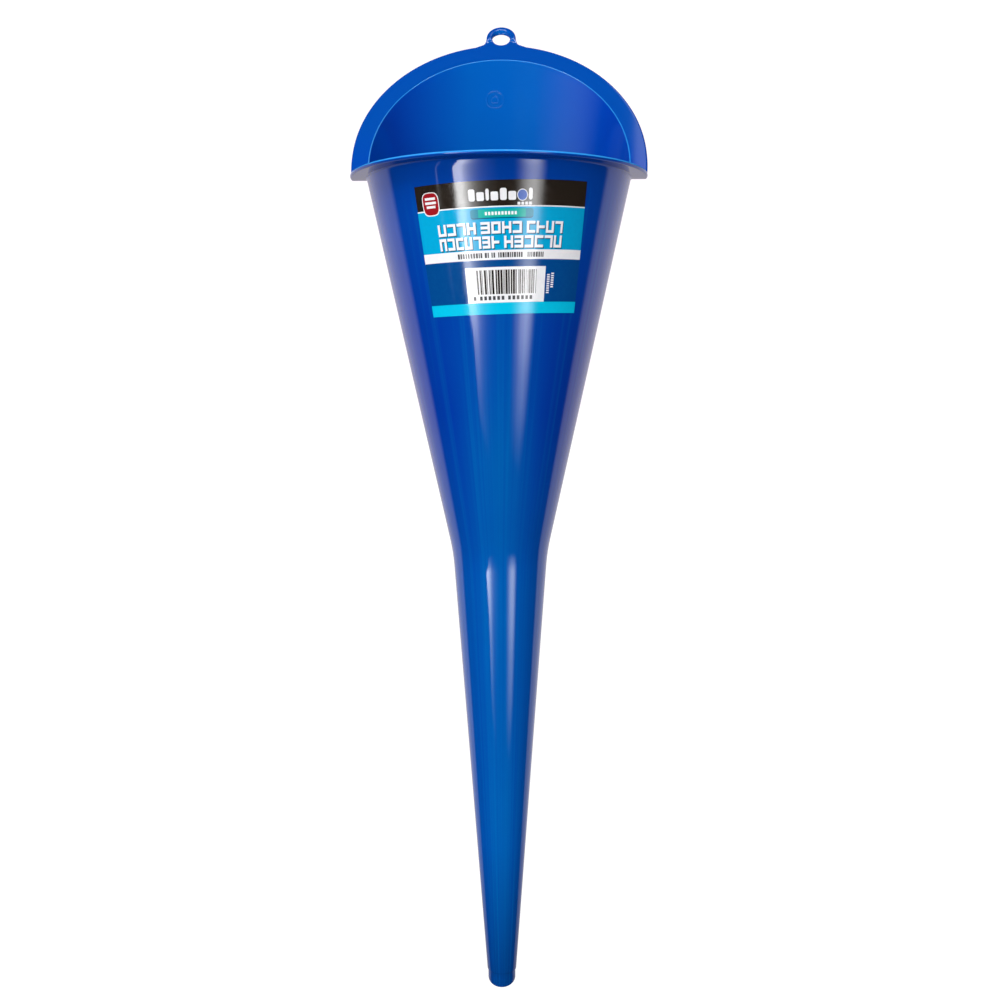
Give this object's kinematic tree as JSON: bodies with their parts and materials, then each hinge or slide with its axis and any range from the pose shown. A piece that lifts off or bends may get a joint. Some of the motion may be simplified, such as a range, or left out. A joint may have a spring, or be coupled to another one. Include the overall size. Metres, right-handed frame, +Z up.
{
  "type": "funnel",
  "caption": "Long-neck funnel with a level front lip, a rear lip raised as a splash guard with a hanging eye, a slanted tip and a printed label on the cone.",
  "frame": {"origin": "on the neck's axis, level with the outlet's lowest point", "axes": "+Z up the neck to the mouth, -Y to the front, where the label and the level lip are, +Y to the raised splash guard and the hanging eye"},
  "size_m": [0.133, 0.1594, 0.4626],
  "materials": {
    "moulding": "glossy deep blue, self-coloured injection-moulded polypropylene",
    "label": "glossy printed self-adhesive film"
  },
  "bodies": {
    "root": {"front_lip": "moulding", "rear_lip": "moulding", "splash_guard": "moulding", "cone": "moulding", "neck": "moulding", "spout_tip": "moulding", "hanging_eye": "moulding", "label": "label"}
  },
  "joints": []
}
